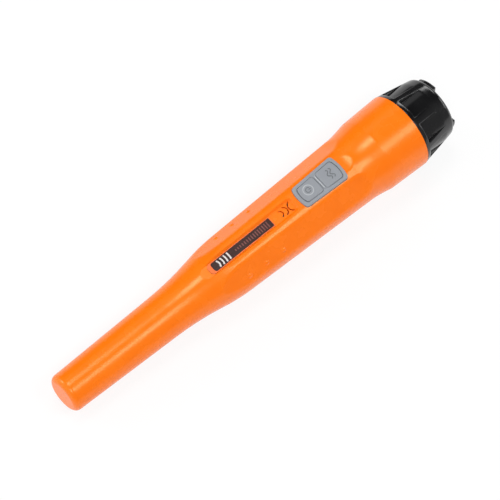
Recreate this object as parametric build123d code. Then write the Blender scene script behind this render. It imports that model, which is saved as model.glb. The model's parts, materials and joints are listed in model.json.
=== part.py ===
from build123d import *
import os
from math import asin, atan2, cos, degrees, hypot, radians, sin

# Handheld pinpointer probe, in millimetres.
# It is built along its long axis: X runs from the probe's tip to the cap, and Z rises out of the deck.
# At the end it is laid down on a table, on the tail's rim and the tip, with Z up.

# Battery, a 9 V block
battery_width = 26.5
battery_height = 17.5
battery_length = 48.5
battery_corner = 2.5
terminal_height = 2.1
terminal_spacing = 12.7
terminal_radii = (2.9, 4.0)

# Clearances
battery_clearance = 0.45
seat_gap = 0.3
slip_gap = 0.1
ring_gap = 0.05
spigot_end_gap = 1.0
screw_end_gap = 1.0
cut_margin = 1.0

# Body outline
tip_radius = 9.85
probe_length = 74.0
probe_radius = 11.5
flare_length = 23.0
handle_front_radius = 15.45
handle_length = 86.5
tail_flare_length = 9.0
tail_front_step = 0.6
tip_rounding = 3.0
flare_foot_blend = 160.0
flare_top_blend = 100.0
tail_flare_blend = 40.0
tail_edge_rounding = 2.0

# Walls
wall = 2.4
tip_wall = 3.0
bay_wall = 2.37
tail_wall = 2.45
ceiling_wall = 1.8

# Deck on the handle, with the label panel, the sound slots and the key pad
deck_front_depth = 0.8
deck_rear_depth = 0.45
side_flat_depth = 1.2
side_flat_angle = 50.0
flat_edge_rounding = 4.5
scoop_radius = 18.0
scoop_turn = 62.0
scoop_margin = 3.1
panel_width = 5.9
panel_depth = 1.0
panel_draft = 45.0
panel_corner = 1.6
panel_to_keypad = 3.5
label_width = 5.5
label_thickness = 0.25
label_tip_corner = 2.0
label_tail_corner = 0.7
label_lead = 8.1
slot_width = 0.6
slot_radii = (1.65, 2.2, 2.7)
slot_chords = (3.2, 4.2, 5.0)
slot_steps = (0.0, 2.8, 3.7)
slot_end_margin = 3.2
slot_to_label = 6.9

# Key pad
keypad_length = 25.4
keypad_tip_width = 12.2
keypad_tail_width = 14.0
keypad_end_bulge = 1.0
keypad_corner = 1.8
keypad_depth = 1.5
keypad_rise = 0.7
keypad_edge_rounding = 0.5
keypad_rim = 1.7
keypad_bar = 1.6
keypad_rib_length = 8.1
keypad_rib_width = 0.8
keypad_rib_rise = 0.5
keypad_to_flare = 12.6
key_gap = 0.2
key_end_gap = 0.4
key_rise = 0.3
key_skirt = 1.0
key_edge_rounding = 0.4
key_window_corner = 1.4
key_inner_bow = 0.2
key_travel = 0.6
key_stem_radius = 1.8
key_stem_clearance = 0.4

# Grip pips along both sides of the handle
pip_count = 3
pip_pitch = 10.4
pip_lead = 7.5
pip_drop = 2.0
pip_diameter = 2.6
pip_height = 0.5
pip_root = 1.2

# Screw cap
cap_length = 21.5
cap_end_step = 0.5
cap_end_rounding = 2.8
cap_base_rounding = 0.4
cap_base_step = 0.1
cap_end_wall = 3.5
cap_flange = 2.8
flute_count = 8
flute_angle = 32.0
flute_wall = 1.7
spigot_wall = 1.3
thread_depth = 0.7
thread_pitch = 2.5
thread_relief = 1.0
cap_turns = 4
lug_height = 2.5
lug_margin = 0.2
lug_width = 3.6
lug_span = 80.0
lug_turn = 48.0
lug_rounding = 0.6
ring_wire_radius = 0.95
pad_thickness = 2.7

# Chassis, loaded from the tail
keypad_to_ledge = 4.3
bulkhead_thickness = 3.0
seal_thickness = 0.8
seal_width = 1.0
ledge_width = 1.2
contact_height = 1.0
contact_thickness = 0.4
contact_width = 5.0
contact_span = 9.0
rail_width = 3.0
rail_height = 2.8
rail_offset = 7.5
bridge_width = 4.0
boss_radius = 2.6
boss_length = 15.0
boss_angle = 36.7
boss_inset = 2.0
bridge_inset = 1.0
bridge_floor = 1.2
screw_radius = 1.2
screw_head_radius = 2.3
screw_head_height = 1.5
screw_slot_width = 0.7
screw_slot_depth = 0.5
screw_length = 12.0

# Circuit board and what it carries
board_thickness = 1.6
board_width = 18.0
board_lead = 3.0
board_tail_gap = 3.2
board_screw_radius = 0.9
board_screw_head_radius = 1.7
board_screw_head_height = 1.2
board_screw_length = 4.0
board_screw_inset = 8.0
switch_size = 6.0
switch_corner = 0.5
switch_height = 3.5
switch_stem_radius = 1.75
switch_stem_rise = 0.8
switch_stem_depth = 1.0
sounder_radius = 6.0
sounder_height = 6.2
sounder_rounding = 0.5
sounder_hole_radius = 1.2
sounder_hole_depth = 1.0
membrane_radius = 4.9
membrane_thickness = 0.3
chip_size = 5.0
chip_height = 1.0
capacitor_radius = 2.0
capacitor_height = 4.2
capacitor_base = 0.8
capacitor_spacing = 6.4
capacitor_lead = 6.0

# Vibration motor below the board
motor_radius = 3.5
motor_length = 16.0
motor_lead = 8.5
motor_drop = 0.6
motor_shaft_radius = 0.75
motor_shaft_length = 9.0
motor_shaft_grip = 3.0
weight_radius = 3.0
weight_length = 4.5
weight_gap = 0.6

# Search coil in the probe
rod_radius = 4.0
rod_tip_inset = 5.0
rod_grip = 10.0
former_wall = 0.8
former_flange_width = 1.2
former_length = 34.0
former_lead = 9.0
coil_inset = 0.4
cushion_length = 7.0
socket_wall = 2.0
lead_radius = 0.5
lead_spacing = 3.0
battery_lead_spacing = 9.6
lead_bend = 1.1
coil_lead_inset = 3.0


# Radii that follow from the battery outwards
battery_corner_radius = battery_corner + hypot(
    battery_width / 2 - battery_corner, battery_height / 2 - battery_corner
)
bay_radius = battery_corner_radius + battery_clearance
handle_rear_radius = bay_radius + bay_wall
spigot_bore = bay_radius + slip_gap
spigot_radius = spigot_bore + spigot_wall
mouth_radius = spigot_radius + thread_depth
tail_radius = mouth_radius + tail_wall
tail_front_radius = tail_radius - tail_front_step
ring_seat_radius = spigot_radius + 2 * (ring_wire_radius + ring_gap)
ring_seat_depth = 2 * (ring_wire_radius + ring_gap)
cap_base_radius = tail_radius - cap_base_step
cap_end_radius = spigot_bore + cap_end_step
lug_outer_radius = cap_end_radius - cap_end_rounding - lug_margin
lug_inner_radius = lug_outer_radius - lug_width
former_flange_radius = tip_radius - wall - ring_gap
coil_radius = former_flange_radius - coil_inset

# Stations along the axis
handle_x = probe_length + flare_length
tail_flare_x = handle_x + handle_length
tail_x = tail_flare_x + tail_flare_length
keypad_end_x = tail_flare_x - keypad_to_flare
keypad_x = keypad_end_x - keypad_length
panel_end_x = keypad_x - panel_to_keypad
slots_x = panel_end_x - slot_end_margin - slot_steps[-1]
label_x = handle_x - label_lead
label_end_x = slots_x - slot_to_label
ledge_x = keypad_end_x + keypad_to_ledge
bulkhead_x = ledge_x + seal_thickness
bulkhead_rear_x = bulkhead_x + bulkhead_thickness
battery_x = bulkhead_rear_x + contact_height + ring_gap
battery_rear_x = battery_x + battery_length
cap_floor_x = battery_rear_x + seat_gap + pad_thickness
cap_end_x = cap_floor_x + cap_end_wall
mouth_x = cap_end_x - cap_length
spigot_length = cap_turns * thread_pitch - thread_relief
spigot_x = mouth_x - spigot_length
mouth_floor_x = spigot_x - spigot_end_gap
board_x = handle_x + board_lead
board_rear_x = ledge_x - board_tail_gap
rod_rear_x = probe_length + rod_grip / 2
socket_x = rod_rear_x - rod_grip

# The deck falls a little towards the tip. Levels are measured along the deck's normal, from its face.
deck_front_height = handle_front_radius - deck_front_depth
deck_rear_height = handle_rear_radius - deck_rear_depth
deck_slope = atan2(deck_rear_height - deck_front_height, handle_length)
ceiling_level = -keypad_depth - ceiling_wall
board_level = ceiling_level - membrane_thickness - seat_gap - sounder_height - slip_gap
switch_top_level = board_level + switch_height + switch_stem_rise
rail_level = board_level - board_thickness
motor_level = rail_level - motor_drop - motor_radius
key_top_level = keypad_rise + key_rise
key_floor_level = -keypad_depth + key_skirt


def handle_radius(x):
    """Outer radius of the handle's taper at a station."""
    along = (x - handle_x) / handle_length
    return handle_front_radius + along * (handle_rear_radius - handle_front_radius)


def deck_plane(x, level=0.0):
    """A plane parallel to the deck, at a station and a level above the deck's face."""
    along = (x - handle_x) / handle_length
    foot = Vector(x, 0, deck_front_height + along * (deck_rear_height - deck_front_height))
    normal = Vector(-sin(deck_slope), 0, cos(deck_slope))
    ahead = Vector(cos(deck_slope), 0, sin(deck_slope))
    return Plane(origin=foot + normal * level, x_dir=ahead, z_dir=normal)


def deck_block(x, length, width, low, high):
    """A box on the deck's plane: it starts at a station and spans two levels."""
    plane = deck_plane(x)
    return plane * Pos(length / 2, 0, (low + high) / 2) * Box(length, width, high - low)


def axial_cylinder(x, length, radius, y=0.0, z=0.0):
    """A cylinder along X that starts at a station."""
    return Pos(x + length / 2, y, z) * Rot(Y=90) * Cylinder(radius, length)


def turned(outline):
    """A solid of revolution about the long axis, with the seam of its faces below, away from the deck."""
    return Rot(X=180) * revolve(Plane.XZ * make_face(outline), Axis.X)


def outer_body():
    """The body's outer form: tapers joined by blends, turned about the axis."""
    edge = FilletPolyline(
        (0, 0),
        (0, tip_radius),
        (probe_length, probe_radius),
        (handle_x, handle_front_radius),
        (tail_flare_x, handle_rear_radius),
        (tail_x, tail_front_radius),
        (mouth_x, tail_radius),
        radius=[
            tip_rounding,
            flare_foot_blend,
            flare_top_blend,
            tail_flare_blend,
            tail_edge_rounding,
        ],
    )
    rest = Polyline((mouth_x, tail_radius), (mouth_x, 0), (0, 0))
    return turned(edge + rest)


def flat_cutter(front_height, rear_height):
    """The stock above a flat along the handle, which scoops up into the tail."""
    scoop_x = keypad_end_x + scoop_margin
    reach = 2 * tail_radius
    slope = (rear_height - front_height) / handle_length
    front = (probe_length, front_height - slope * flare_length)
    scoop = (scoop_x, front_height + slope * (scoop_x - handle_x))
    with BuildSketch(Plane.XZ) as side:
        with BuildLine():
            flat = Line(front, scoop)
            rise = JernArc(scoop, flat % 1, scoop_radius, scoop_turn)
            Polyline(rise @ 1, ((rise @ 1).X, reach), (probe_length, reach), front)
        make_face()
    return extrude(side.sketch, reach, both=True)


def cut_flats(body):
    """The body with its deck and a flat on each side, their edges rounded."""
    side_cutter = flat_cutter(handle_front_radius - side_flat_depth, handle_rear_radius - side_flat_depth)
    body -= flat_cutter(deck_front_height, deck_rear_height)
    for side in (-1, 1):
        body -= Rot(X=side * side_flat_angle) * side_cutter
    faces = [f for f in body.faces().filter_by(GeomType.PLANE) if abs(f.normal_at().X) < 0.5]
    faces += [f for f in body.faces().filter_by(GeomType.CYLINDER) if abs(f.radius - scoop_radius) < 0.01]
    edges = ShapeList(e for f in faces for e in f.edges())
    border = ShapeList(e for e in edges if sum(e.is_same(other) for other in edges) == 1)
    return fillet(border, flat_edge_rounding)


def pips():
    """Rounded grip pips in a row on each side flat."""
    ball = ((pip_diameter / 2) ** 2 + pip_height**2) / (2 * pip_height)
    root = pip_height + pip_root
    trim = Pos(0, 0, ball - root / 2) * Cylinder(pip_diameter, root)
    dome = Sphere(ball) & trim
    found = []
    for side in (-1, 1):
        for i in range(pip_count):
            x = handle_x + pip_lead + i * pip_pitch
            reach = handle_radius(x) - side_flat_depth + pip_height - ball
            found.append(Rot(X=side * side_flat_angle) * Pos(x, -side * pip_drop, reach) * dome)
    return found


def cavity():
    """The space inside the body: probe bore, handle bore below the ceiling, battery bay and mouth."""
    ledge_radius = bay_radius - ledge_width
    bore = Polyline(
        (tip_wall, 0),
        (tip_wall, tip_radius - wall),
        (probe_length, probe_radius - wall),
        (handle_x, handle_front_radius - wall),
        (ledge_x, ledge_radius),
        (ledge_x, 0),
        close=True,
    )
    ceiling_length = ledge_x - probe_length + tail_radius
    above = deck_block(probe_length, ceiling_length, 4 * tail_radius, ceiling_level, 3 * tail_radius)
    bay = axial_cylinder(ledge_x, mouth_floor_x - ledge_x, bay_radius)
    mouth = axial_cylinder(mouth_floor_x, mouth_x - mouth_floor_x, mouth_radius)
    ring_seat = axial_cylinder(mouth_x - ring_seat_depth, ring_seat_depth, ring_seat_radius)
    return (turned(bore) - above) + bay + mouth + ring_seat


def boss_places():
    """Centres, across the axis, of the two screw bosses."""
    reach = bay_radius - ledge_width - boss_inset
    turn = radians(boss_angle)
    return [(side * reach * cos(turn), -reach * sin(turn)) for side in (-1, 1)]


def panel_cut():
    """The deck's shallow panel: drafted walls, open at the tip end, with rounded corners at the tail end."""
    start = probe_length
    length = panel_end_x - start
    outline = Rectangle(2 * length, panel_width)
    corners = outline.vertices().group_by(Axis.X)[-1]
    outline = fillet(corners, panel_corner)
    block = extrude(outline, panel_depth + cut_margin, taper=-panel_draft)
    return deck_plane(start, -panel_depth) * block


def pad_shape(start, end, inset, bows, corner):
    """An outline on the key pad between two stations, drawn in from its sides, with bowed ends."""

    def half_width(x):
        growth = (keypad_tail_width - keypad_tip_width) * x / keypad_length
        return (keypad_tip_width + growth) / 2 - inset

    tip = half_width(start)
    tail = half_width(end)
    with BuildSketch() as shape:
        with BuildLine():
            Line((start, tip), (end, tail))
            ThreePointArc((end, tail), (end + bows[1], 0), (end, -tail))
            Line((end, -tail), (start, -tip))
            ThreePointArc((start, -tip), (start - bows[0], 0), (start, tip))
        make_face()
        fillet(shape.vertices(), corner)
    return shape.sketch


def keypad_outline(inset=0.0):
    """The key pad's outline: wider at the tail, with bowed ends and rounded corners."""
    bows = (keypad_end_bulge, keypad_end_bulge)
    return pad_shape(inset, keypad_length - inset, inset, bows, keypad_corner - inset)


def key_span(index, near_inset=0.0, far_inset=0.0):
    """First and last station, on the pad, of one key's opening: the tip-side one comes first."""
    middle = keypad_length / 2
    near = keypad_bar / 2 + near_inset
    far = keypad_rim + far_inset
    if index == 0:
        return far, middle - near
    return middle + near, keypad_length - far


def key_outline(index, gap=0.0, end_gap=0.0):
    """One opening of the key pad, bowed at its outer end, or the key in it, drawn in by the gaps."""
    bows = (keypad_end_bulge, key_inner_bow)
    if index == 1:
        bows = bows[::-1]
    start, end = key_span(index, gap, end_gap)
    return pad_shape(start, end, keypad_rim + gap, bows, key_window_corner - gap)


def key_centres():
    """Stations of the two keys' middles."""
    return [keypad_x + sum(key_span(i)) / 2 for i in range(2)]


def sound_slots():
    """Curved slots through the panel's floor, above the sounder. The last one faces the others."""
    found = []
    for radius, chord, step in zip(slot_radii, slot_chords, slot_steps):
        span = 2 * degrees(asin(chord / (2 * radius)))
        slot = SlotArc(CenterArc((-radius, 0), radius, -span / 2, span), slot_width)
        if step == slot_steps[-1]:
            slot = Rot(Z=180) * slot
        place = deck_plane(slots_x + step, ceiling_level - cut_margin)
        found.append(place * extrude(slot, tail_radius))
    return found


def main_housing():
    """The one-piece moulded body."""
    body = cut_flats(outer_body())
    for pip in pips():
        body += pip
    hollow = cavity()
    for y, z in boss_places():
        hollow -= axial_cylinder(ledge_x - boss_length, boss_length, boss_radius, y, z)
    body -= hollow
    body -= panel_cut()
    pocket = extrude(keypad_outline(), keypad_depth + tail_radius)
    body -= deck_plane(keypad_x, -keypad_depth) * pocket
    for x in key_centres():
        hole = Cylinder(key_stem_radius + key_stem_clearance, 4 * ceiling_wall)
        body -= deck_plane(x, ceiling_level) * hole
    for slot in sound_slots():
        body -= slot
    for y, z in boss_places():
        body -= axial_cylinder(ledge_x - screw_length, screw_length, screw_radius + ring_gap, y, z)
    return body


def label_plate():
    """The thin label strip on the panel's floor."""
    length = label_end_x - label_x
    outline = Rectangle(length, label_width)
    tip = outline.vertices().group_by(Axis.X)[0]
    outline = fillet(tip, label_tip_corner)
    tail = outline.vertices().group_by(Axis.X)[-1]
    outline = fillet(tail, label_tail_corner)
    plate = extrude(outline, label_thickness)
    return deck_plane(label_x, -panel_depth) * Pos(length / 2, 0, 0) * plate


def keypad_frame():
    """The rubber surround of the keys, standing a little proud of the deck."""
    block = extrude(keypad_outline(slip_gap), keypad_depth + keypad_rise)
    top = block.faces().sort_by(Axis.Z)[-1]
    block = fillet(top.edges(), keypad_edge_rounding)
    for index in range(2):
        block -= extrude(key_outline(index), keypad_depth + 2 * keypad_rise)
    rib_height = keypad_depth + keypad_rise + keypad_rib_rise
    rib = extrude(SlotOverall(keypad_rib_length, keypad_rib_width, 90), rib_height)
    rib = fillet(rib.faces().sort_by(Axis.Z)[-1].edges(), keypad_rib_width / 3)
    block += Pos(keypad_length / 2, 0, 0) * rib
    return deck_plane(keypad_x, -keypad_depth) * block


def rubber_key(index):
    """One key: a cap in its window, with a stem that reaches down to the switch."""
    height = key_top_level - key_floor_level
    cap = extrude(key_outline(index, key_gap, key_end_gap), height)
    cap = fillet(cap.faces().sort_by(Axis.Z)[-1].edges(), key_edge_rounding)
    stem_length = key_floor_level - switch_top_level
    middle = key_centres()[index] - keypad_x
    stem = Pos(middle, 0, -stem_length / 2) * Cylinder(key_stem_radius, stem_length)
    return deck_plane(keypad_x, key_floor_level) * (cap + stem)


def tact_switch(x):
    """A tact switch body, with the bore that its stem slides in."""
    body = Box(switch_size, switch_size, switch_height, align=(Align.CENTER, Align.CENTER, Align.MIN))
    body = chamfer(body.edges().filter_by(Axis.Z), switch_corner)
    depth = switch_stem_depth + key_travel + seat_gap
    bore = Pos(0, 0, switch_height - depth) * Cylinder(
        switch_stem_radius + slip_gap, depth, align=(Align.CENTER, Align.CENTER, Align.MIN)
    )
    return deck_plane(x, board_level) * (body - bore)


def tact_stem(x):
    """The switch's stem, which the key presses."""
    length = switch_stem_rise + switch_stem_depth
    return deck_plane(x, switch_top_level - length / 2) * Cylinder(switch_stem_radius, length)


def cap_outline():
    """The cap's outer form, turned about the axis: a taper with a rounded end."""
    edge = FilletPolyline(
        (mouth_x, 0),
        (mouth_x, cap_base_radius),
        (cap_end_x, cap_end_radius),
        (cap_end_x, 0),
        radius=[cap_base_rounding, cap_end_rounding],
    )
    return turned(edge + Line((cap_end_x, 0), (mouth_x, 0)))


def ring_sector(x, length, inner, outer, middle, span):
    """A sector of a ring about the axis: middle is its angle from Z towards Y."""
    ring = axial_cylinder(x, length, outer) - axial_cylinder(x, length, inner)
    half = radians(span) / 2
    reach = 2 * outer
    wedge = Polyline(
        (0, 0),
        (-reach * sin(half), reach * cos(half)),
        (0, reach * 2),
        (reach * sin(half), reach * cos(half)),
        close=True,
    )
    section = Plane.YZ * make_face(wedge)
    block = Pos(x, 0, 0) * extrude(section, length)
    return Rot(X=-middle) * (ring & block)


def battery_cap():
    """The fluted screw cap, with its hollow spigot and two end lugs."""
    body = cap_outline()
    body += axial_cylinder(spigot_x, spigot_length, spigot_radius)
    floor_radius = spigot_bore + flute_wall
    for i in range(flute_count):
        angle = i * 360 / flute_count
        body -= ring_sector(
            mouth_x + cap_flange, cap_length, floor_radius, tail_radius + cut_margin, angle, flute_angle
        )
    body -= axial_cylinder(spigot_x, cap_floor_x - spigot_x, spigot_bore)
    for middle in (lug_turn, lug_turn + 180):
        lug = ring_sector(cap_end_x, lug_height, lug_inner_radius, lug_outer_radius, middle, lug_span)
        lug = fillet(lug.faces().sort_by(Axis.X)[-1].edges(), lug_rounding)
        body += lug
    return body


def cap_o_ring():
    """The seal at the root of the cap's spigot."""
    middle = ring_wire_radius + ring_gap
    section = Pos(mouth_x - middle, spigot_radius + middle) * Circle(ring_wire_radius)
    return revolve(Plane.XZ * section, Axis.X)


def cap_pad():
    """The foam disc in the cap that holds the battery against its contacts."""
    return axial_cylinder(cap_floor_x - pad_thickness, pad_thickness, spigot_bore - seat_gap)


def battery():
    """The 9 V block's case."""
    case_x = battery_x + terminal_height
    length = battery_length - terminal_height
    outline = RectangleRounded(battery_height, battery_width, battery_corner)
    return Pos(case_x + length / 2, 0, 0) * Rot(Y=90) * Pos(0, 0, -length / 2) * extrude(outline, length)


def battery_terminals():
    """The block's two snap terminals, facing the bulkhead."""
    found = []
    for side, radius in zip((-1, 1), terminal_radii):
        found.append(axial_cylinder(battery_x, terminal_height, radius, side * terminal_spacing / 2))
    return found


def battery_contacts():
    """Two bowed spring strips on the bulkhead that touch the terminals."""
    found = []
    half = contact_span / 2
    rise = contact_height - contact_thickness
    for side in (-1, 1):
        with BuildSketch(Plane.XY) as bow:
            with BuildLine():
                low = ThreePointArc((0, -half), (rise, 0), (0, half))
                Line((0, half), (contact_thickness, half))
                high = ThreePointArc(
                    (contact_thickness, half), (contact_height, 0), (contact_thickness, -half)
                )
                Line(high @ 1, low @ 0)
            make_face()
        strip = extrude(bow.sketch, contact_width / 2, both=True)
        found.append(Pos(bulkhead_rear_x, side * terminal_spacing / 2, 0) * strip)
    return found


def board_screw_places():
    """Stations and sides of the screws that hold the board on the rails."""
    stations = (board_x + board_screw_inset, board_rear_x - board_screw_inset / 2)
    return [(x, side * rail_offset) for x in stations for side in (-1, 1)]


def motor_x():
    """Station of the motor can's front end."""
    return board_x + motor_lead


def chassis():
    """The sled: a bulkhead disc, two rails below the board, and a socket for the ferrite rod."""
    body = axial_cylinder(bulkhead_x, bulkhead_thickness, bay_radius - seat_gap)
    rail_start = handle_x - flare_length / 2
    rail_length = bulkhead_x - rail_start + bulkhead_thickness / 2
    for side in (-1, 1):
        rail = deck_block(rail_start, rail_length, rail_width, rail_level - rail_height, rail_level)
        body += Pos(0, side * rail_offset, 0) * rail
    across = 2 * rail_offset
    yoke_low = rail_level - rail_height
    body += deck_block(rail_start, bridge_width, across, yoke_low, rail_level)
    socket_length = rail_start + bridge_width - socket_x
    body += axial_cylinder(socket_x, socket_length, rod_radius + socket_wall)
    socket_depth = rod_grip + slip_gap
    body -= axial_cylinder(socket_x - cut_margin, cut_margin + socket_depth, rod_radius + slip_gap)
    low = motor_level - motor_radius - bridge_floor
    for inset in (bridge_inset, motor_length - bridge_width - bridge_inset):
        body += deck_block(motor_x() + inset, bridge_width, across, low, rail_level - rail_height / 2)
    seat = Rot(Y=90) * Cylinder(motor_radius + slip_gap, motor_length + 2 * seat_gap)
    room = deck_block(motor_x() - seat_gap, motor_length + 2 * seat_gap, 2 * motor_radius, motor_level, 0)
    body -= deck_plane(motor_x(), motor_level) * Pos(motor_length / 2, 0, 0) * seat
    body -= room
    for y, z in boss_places():
        hole_length = bulkhead_thickness + 2 * cut_margin
        body -= axial_cylinder(bulkhead_x - cut_margin, hole_length, screw_radius + slip_gap, y, z)
    for x, y in board_screw_places():
        hole = Cylinder(board_screw_radius + ring_gap, 2 * board_screw_length)
        body -= deck_plane(x, rail_level) * Pos(0, y, 0) * hole
    return body


def bulkhead_seal():
    """The flat gasket between the bulkhead and the housing's ledge."""
    outer = bay_radius - slip_gap
    ring = axial_cylinder(ledge_x, seal_thickness, outer)
    return ring - axial_cylinder(ledge_x, seal_thickness, outer - seal_width)


def bulkhead_screws():
    """Two screws through the bulkhead into the housing's bosses."""
    found = []
    for y, z in boss_places():
        start = ledge_x - screw_length + screw_end_gap
        shank = axial_cylinder(start, bulkhead_rear_x - start, screw_radius, y, z)
        head = axial_cylinder(bulkhead_rear_x, screw_head_height, screw_head_radius, y, z)
        slot = Box(2 * screw_slot_depth, screw_slot_width, 3 * screw_head_radius)
        found.append(shank + (head - Pos(bulkhead_rear_x + screw_head_height, y, z) * slot))
    return found


def circuit_board():
    """The board on the rails, with its screw holes."""
    board = deck_block(board_x, board_rear_x - board_x, board_width, rail_level, board_level)
    for x, y in board_screw_places():
        hole = Cylinder(board_screw_radius + slip_gap, 4 * board_thickness)
        board -= deck_plane(x, rail_level) * Pos(0, y, 0) * hole
    return board


def board_screws():
    """The screws that hold the board on the rails."""
    found = []
    for x, y in board_screw_places():
        shank = Pos(0, 0, -board_screw_length / 2) * Cylinder(board_screw_radius, board_screw_length)
        head = Pos(0, 0, board_screw_head_height / 2) * Cylinder(
            board_screw_head_radius, board_screw_head_height
        )
        found.append(deck_plane(x, board_level) * Pos(0, y, 0) * (shank + head))
    return found


def sounder_x():
    """Station of the sounder's middle, below the sound slots."""
    return slots_x + slot_steps[-1] / 2


def sounder():
    """The round buzzer on the board, with its port on top."""
    can = Pos(0, 0, sounder_height / 2) * Cylinder(sounder_radius, sounder_height)
    can = fillet(can.faces().sort_by(Axis.Z)[-1].edges(), sounder_rounding)
    can -= Pos(0, 0, sounder_height) * Cylinder(sounder_hole_radius, 2 * sounder_hole_depth)
    return deck_plane(sounder_x(), board_level) * can


def sound_membrane():
    """The thin vent disc below the sound slots, on the ceiling."""
    disc = Cylinder(membrane_radius, membrane_thickness)
    return deck_plane(sounder_x(), ceiling_level - membrane_thickness / 2) * disc


def main_chip():
    """The controller between the sounder and the first switch."""
    x = (sounder_x() + sounder_radius + key_centres()[0] - switch_size / 2) / 2
    chip = Pos(0, 0, chip_height / 2) * Box(chip_size, chip_size, chip_height)
    return deck_plane(x, board_level) * chip


def capacitors():
    """Two can capacitors on square bases, at the board's tip end."""
    found = []
    for side in (-1, 1):
        base = Pos(0, 0, capacitor_base / 2) * Box(2 * capacitor_radius, 2 * capacitor_radius, capacitor_base)
        can = Pos(0, 0, capacitor_height / 2) * Cylinder(capacitor_radius, capacitor_height)
        place = deck_plane(board_x + board_screw_inset + capacitor_lead, board_level)
        found.append(place * Pos(0, side * capacitor_spacing / 2, 0) * (base + can))
    return found


def vibration_motor():
    """The motor can, with a bore for its shaft."""
    can = Rot(Y=90) * Cylinder(motor_radius, motor_length)
    bore = Pos((motor_shaft_grip - motor_length) / 2, 0, 0) * Rot(Y=90) * Cylinder(
        motor_shaft_radius + ring_gap, motor_shaft_grip + slip_gap
    )
    return deck_plane(motor_x(), motor_level) * Pos(motor_length / 2, 0, 0) * (can - bore)


def motor_weight():
    """The eccentric weight on the motor's shaft."""
    shaft_x = motor_shaft_grip - motor_shaft_length
    shaft = Pos(shaft_x + motor_shaft_length / 2, 0, 0) * Rot(Y=90) * Cylinder(
        motor_shaft_radius, motor_shaft_length - slip_gap
    )
    disc = Rot(Y=90) * Cylinder(weight_radius, weight_length)
    half = Pos(0, 0, -weight_radius + motor_shaft_radius) * Box(
        weight_length, 2 * weight_radius, 2 * weight_radius
    )
    weight = Pos(-weight_gap - weight_length / 2, 0, 0) * (disc & half)
    return deck_plane(motor_x(), motor_level) * (shaft + weight)


def ferrite_rod():
    """The coil's core, from the tip cushion to the chassis socket."""
    start = tip_wall + rod_tip_inset
    return axial_cylinder(start, rod_rear_x - start, rod_radius)


def former_x():
    """Station of the former's front end."""
    return tip_wall + former_lead


def coil_former():
    """The bobbin on the rod."""
    start = former_x()
    sleeve = axial_cylinder(start, former_length, rod_radius + slip_gap + former_wall)
    for x in (start, start + former_length - former_flange_width):
        sleeve += axial_cylinder(x, former_flange_width, former_flange_radius)
    bore_length = former_length + 2 * cut_margin
    return sleeve - axial_cylinder(start - cut_margin, bore_length, rod_radius + slip_gap)


def search_coil():
    """The winding between the former's flanges."""
    start = former_x() + former_flange_width
    length = former_length - 2 * former_flange_width
    inner = rod_radius + slip_gap + former_wall
    return axial_cylinder(start, length, coil_radius) - axial_cylinder(start, length, inner)


def tip_cushion():
    """The foam plug in the tip that centres the rod."""
    radius = tip_radius - wall - slip_gap
    plug = axial_cylinder(tip_wall, cushion_length, radius)
    start = tip_wall + rod_tip_inset
    return plug - axial_cylinder(start, cushion_length, rod_radius + slip_gap)


def coil_leads():
    """Two leads along the top of the rod, from the former to the board."""
    start = former_x() + former_length
    height = rod_radius + socket_wall + lead_radius + slip_gap
    end_x = board_x + coil_lead_inset
    board_top = deck_plane(end_x, board_level).origin.Z
    found = []
    for side in (-1, 1):
        y = side * lead_spacing / 2
        path = FilletPolyline((start, y, height), (end_x, y, height), (end_x, y, board_top), radius=lead_bend)
        section = Plane(origin=path @ 0, z_dir=path % 0) * Circle(lead_radius)
        found.append(sweep(section, path))
    return found


def battery_leads():
    """Two short leads from the bulkhead's contacts to the board."""
    found = []
    end_x = board_rear_x - board_screw_inset
    foot = deck_plane(end_x, board_level).origin.Z
    height = foot + 2 * lead_bend
    for side in (-1, 1):
        y = side * battery_lead_spacing / 2
        path = FilletPolyline((bulkhead_x, y, height), (end_x, y, height), (end_x, y, foot), radius=lead_bend)
        section = Plane(origin=path @ 0, z_dir=path % 0) * Circle(lead_radius)
        found.append(sweep(section, path))
    return found


def build_parts():
    """Every piece, by node name, along the long axis."""
    power_x, mode_x = key_centres()
    return {
        "main_housing": main_housing(),
        "label_plate": label_plate(),
        "keypad_frame": keypad_frame(),
        "power_key": rubber_key(0),
        "mode_key": rubber_key(1),
        "power_switch": tact_switch(power_x),
        "power_switch_stem": tact_stem(power_x),
        "mode_switch": tact_switch(mode_x),
        "mode_switch_stem": tact_stem(mode_x),
        "battery_cap": battery_cap(),
        "cap_o_ring": cap_o_ring(),
        "cap_pad": cap_pad(),
        "battery": battery(),
        "battery_terminals": battery_terminals(),
        "battery_contacts": battery_contacts(),
        "chassis": chassis(),
        "bulkhead_seal": bulkhead_seal(),
        "bulkhead_screws": bulkhead_screws(),
        "circuit_board": circuit_board(),
        "board_screws": board_screws(),
        "main_chip": main_chip(),
        "capacitors": capacitors(),
        "sounder": sounder(),
        "sound_membrane": sound_membrane(),
        "vibration_motor": vibration_motor(),
        "motor_weight": motor_weight(),
        "ferrite_rod": ferrite_rod(),
        "coil_former": coil_former(),
        "search_coil": search_coil(),
        "tip_cushion": tip_cushion(),
        "coil_leads": coil_leads(),
        "battery_leads": battery_leads(),
    }


def resting_place(body, cap):
    """The move that lays the probe on a table, with the origin below the middle of its box."""
    lean = degrees(atan2(tail_radius - tip_radius, mouth_x - tip_rounding))
    turn = Rot(Y=-lean)
    box = Compound(children=[turn * body, turn * cap]).bounding_box()
    return Pos(-box.center().X, -box.center().Y, -box.min.Z) * turn


def main():
    os.makedirs("parts", exist_ok=True)
    parts = build_parts()
    place = resting_place(parts["main_housing"], parts["battery_cap"])
    for name, part in parts.items():
        pieces = part if isinstance(part, list) else [part]
        solids = [place * solid for piece in pieces for solid in piece.solids()]
        export_step(Compound(children=solids), f"parts/{name}.step")


main()
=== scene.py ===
"""Looks of the pinpointer probe: finishes, fine details, studio and camera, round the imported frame."""
import json
from math import cos, degrees, pi, radians, sin, sqrt, tan

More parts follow.
